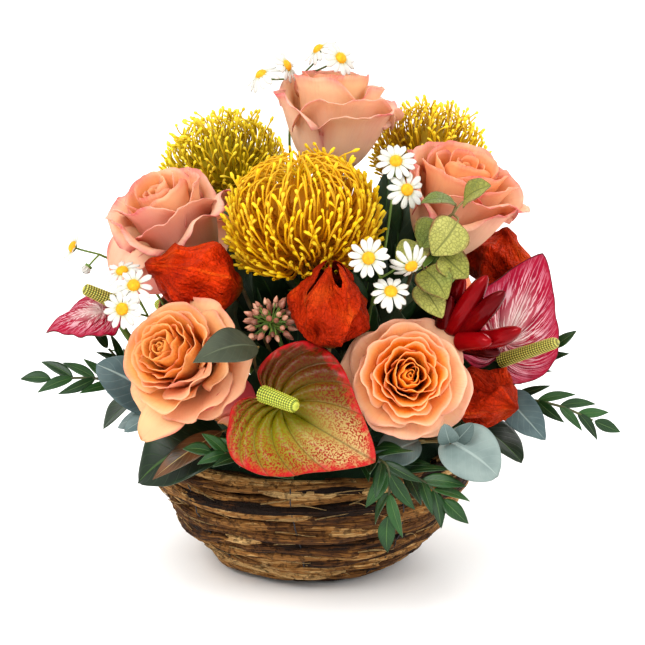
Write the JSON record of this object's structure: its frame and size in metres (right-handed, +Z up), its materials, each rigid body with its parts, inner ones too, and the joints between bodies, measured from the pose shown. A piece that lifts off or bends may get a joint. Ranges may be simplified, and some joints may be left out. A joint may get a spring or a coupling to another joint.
{
  "type": "flower basket arrangement",
  "caption": "Round vine basket packed with floral foam that holds a dome of roses, pincushions, anthuriums, lanterns, daisies, chilies and mixed greenery.",
  "frame": {"origin": "centre of the flat patch that the basket stands on", "axes": "+Z up, and the arrangement's front faces -Y with +X to its right"},
  "size_m": [0.3462, 0.2869, 0.3132],
  "materials": {
    "vine": "matt brown bark",
    "liner": "thin black film",
    "foam": "soaked green foam",
    "rose_petal": "peach petal with pink edges",
    "open_rose_petal": "apricot petal",
    "stem": "green stem",
    "pincushion": "golden yellow styles",
    "lantern": "papery orange husk",
    "speckled_spathe": "waxy olive and rust",
    "pink_spathe": "waxy white and pink",
    "spadix": "beaded yellow green",
    "chamomile": "white ray",
    "gold_leaf": "yellow green leaf",
    "grey_leaf": "bloomed grey green leaf",
    "chili": "glossy dark red skin",
    "berry": "brownish pink buds",
    "mastic_leaf": "dark green leaflets",
    "salal_leaf": "glossy dark green leaf",
    "bronze_leaf": "bronze green leaf"
  },
  "bodies": {
    "root": {"anthurium_back": "speckled_spathe", "anthurium_back_spadix": "spadix", "anthurium_front": "speckled_spathe", "anthurium_front_spadix": "spadix", "anthurium_left": "pink_spathe", "anthurium_left_spadix": "spadix", "anthurium_right": "pink_spathe", "anthurium_right_spadix": "spadix", "basket": "vine", "berry_cluster": "berry", "bronze_leaf": "bronze_leaf", "chamomile_left": "chamomile", "chamomile_middle": "chamomile", "chamomile_top": "chamomile", "chili_bunch": "chili", "eucalyptus_back": "grey_leaf", "eucalyptus_front": "grey_leaf", "eucalyptus_gold": "gold_leaf", "eucalyptus_low_left": "grey_leaf", "eucalyptus_low_right": "grey_leaf", "eucalyptus_right": "grey_leaf", "foam": "foam", "lantern_back": "lantern", "lantern_left": "lantern", "lantern_low_right": "lantern", "lantern_middle": "lantern", "lantern_right": "lantern", "liner": "liner", "mastic_back_left": "mastic_leaf", "mastic_back_right": "mastic_leaf", "mastic_front": "mastic_leaf", "mastic_front_left": "mastic_leaf", "mastic_left": "mastic_leaf", "mastic_right": "mastic_leaf", "pincushion_front": "pincushion", "pincushion_front_stem": "stem", "pincushion_left": "pincushion", "pincushion_left_stem": "stem", "pincushion_right": "pincushion", "pincushion_right_stem": "stem", "rose_back_left": "open_rose_petal", "rose_back_left_stem": "stem", "rose_back_right": "open_rose_petal", "rose_back_right_stem": "stem", "rose_front": "open_rose_petal", "rose_front_stem": "stem", "rose_left": "rose_petal", "rose_left_stem": "stem", "rose_low_left": "open_rose_petal", "rose_low_left_stem": "stem", "rose_right": "rose_petal", "rose_right_stem": "stem", "rose_top": "rose_petal", "rose_top_stem": "stem", "salal_back": "salal_leaf", "salal_front_left": "salal_leaf", "salal_left": "salal_leaf", "salal_middle": "salal_leaf", "salal_right": "salal_leaf"}
  },
  "joints": []
}
